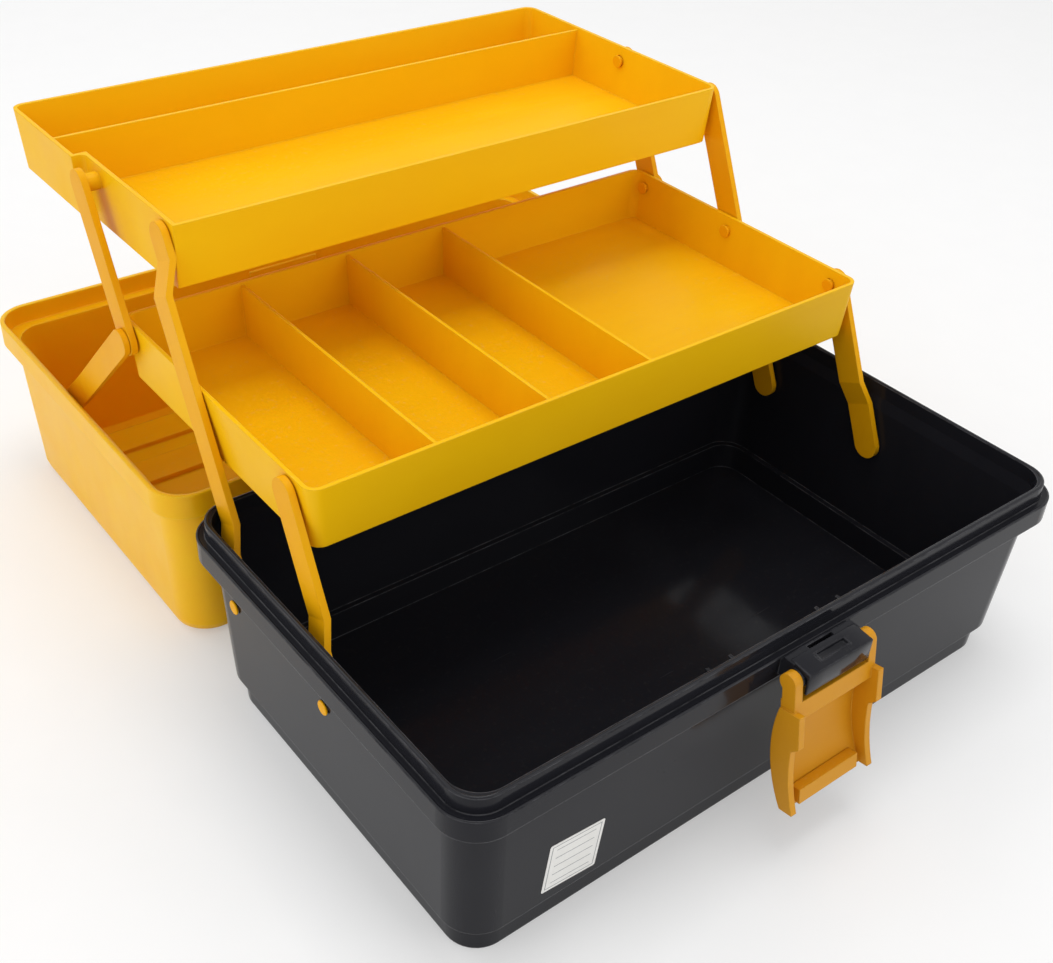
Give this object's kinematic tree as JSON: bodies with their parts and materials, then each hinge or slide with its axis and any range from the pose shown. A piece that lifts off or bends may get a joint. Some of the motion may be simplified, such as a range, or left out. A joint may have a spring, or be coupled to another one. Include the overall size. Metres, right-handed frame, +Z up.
{
  "type": "art supply box",
  "caption": "Hinged carrying box for art supplies with a deep base, a deep lid and stacked trays on folding arms that swing out over the lid as it opens.",
  "frame": {"origin": "centre of the flat underside of the base", "axes": "+X to the right seen from the latch side, +Y to the back where the lid lies open, +Z up"},
  "size_m": [0.33, 0.439, 0.2069],
  "materials": {
    "base_black": "glossy moulded black",
    "lid_yellow": "semi-gloss moulded yellow",
    "tray_yellow": "semi-gloss moulded yellow",
    "arm_yellow": "satin moulded yellow",
    "latch_yellow": "satin moulded yellow",
    "handle_black": "satin moulded black",
    "pin_steel": "drawn wire"
  },
  "bodies": {
    "base": {"base_shell": "base_black", "hinge_pins": "pin_steel"},
    "lid": {"lid_shell": "lid_yellow"},
    "handle": {"handle": "handle_black"},
    "lower_tray": {"lower_tray": "tray_yellow"},
    "upper_tray": {"upper_tray": "tray_yellow"},
    "rear_arms": {"rear_arm_left": "arm_yellow", "rear_arm_right": "arm_yellow"},
    "front_arms": {"front_arm_left": "arm_yellow", "front_arm_right": "arm_yellow"},
    "upper_arms": {"upper_arm_left": "arm_yellow", "upper_arm_right": "arm_yellow"},
    "lid_links": {"lid_link_left": "arm_yellow", "lid_link_right": "arm_yellow"},
    "latch": {"latch": "latch_yellow"}
  },
  "joints": [
    {"name": "lid_hinge", "type": "hinge", "parent": "base", "child": "lid", "pos_m": [0, 0.1075, 0.0882], "axis": [1, 0, 0], "range_deg": [0, 180]},
    {"name": "rear_arms_pivot", "type": "hinge", "parent": "base", "child": "rear_arms", "pos_m": [0, 0.069, 0.0625], "axis": [1, 0, 0], "range_deg": [0, 88]},
    {"name": "front_arms_pivot", "type": "hinge", "parent": "base", "child": "front_arms", "pos_m": [0, -0.001, 0.0625], "axis": [1, 0, 0], "range_deg": [0, 88]},
    {"name": "lower_tray_pivot", "type": "hinge", "parent": "rear_arms", "child": "lower_tray", "pos_m": [0, 0.1045, 0.13863], "axis": [1, 0, 0], "range_deg": [-88, 0]},
    {"name": "upper_tray_pivot", "type": "hinge", "parent": "rear_arms", "child": "upper_tray", "pos_m": [0, 0.13281, 0.19935], "axis": [1, 0, 0], "range_deg": [-88, 0]},
    {"name": "upper_arms_pivot", "type": "hinge", "parent": "lower_tray", "child": "upper_arms", "pos_m": [0, 0.1672, 0.13863], "axis": [1, 0, 0], "range_deg": [0, 88]},
    {"name": "lid_links_pivot", "type": "hinge", "parent": "lower_tray", "child": "lid_links", "pos_m": [0, 0.1672, 0.13863], "axis": [1, 0, 0], "range_deg": [0, 218]},
    {"name": "latch_pivot", "type": "hinge", "parent": "base", "child": "latch", "pos_m": [0, -0.1085, 0.084], "axis": [-1, 0, 0], "range_deg": [0, 165]},
    {"name": "handle_pivot", "type": "hinge", "parent": "lid", "child": "handle", "pos_m": [0, 0.204, 0.0055], "axis": [-1, 0, 0], "range_deg": [0, 90]}
  ],
  "couplings": [
    {"joint": "rear_arms_pivot", "follows": "lid_hinge", "ratio": 0.48889},
    {"joint": "front_arms_pivot", "follows": "lid_hinge", "ratio": 0.48889},
    {"joint": "lower_tray_pivot", "follows": "lid_hinge", "ratio": -0.48889},
    {"joint": "upper_tray_pivot", "follows": "lid_hinge", "ratio": -0.48889},
    {"joint": "upper_arms_pivot", "follows": "lid_hinge", "ratio": 0.48889},
    {"joint": "lid_links_pivot", "follows": "lid_hinge", "ratio": 1.2111}
  ]
}
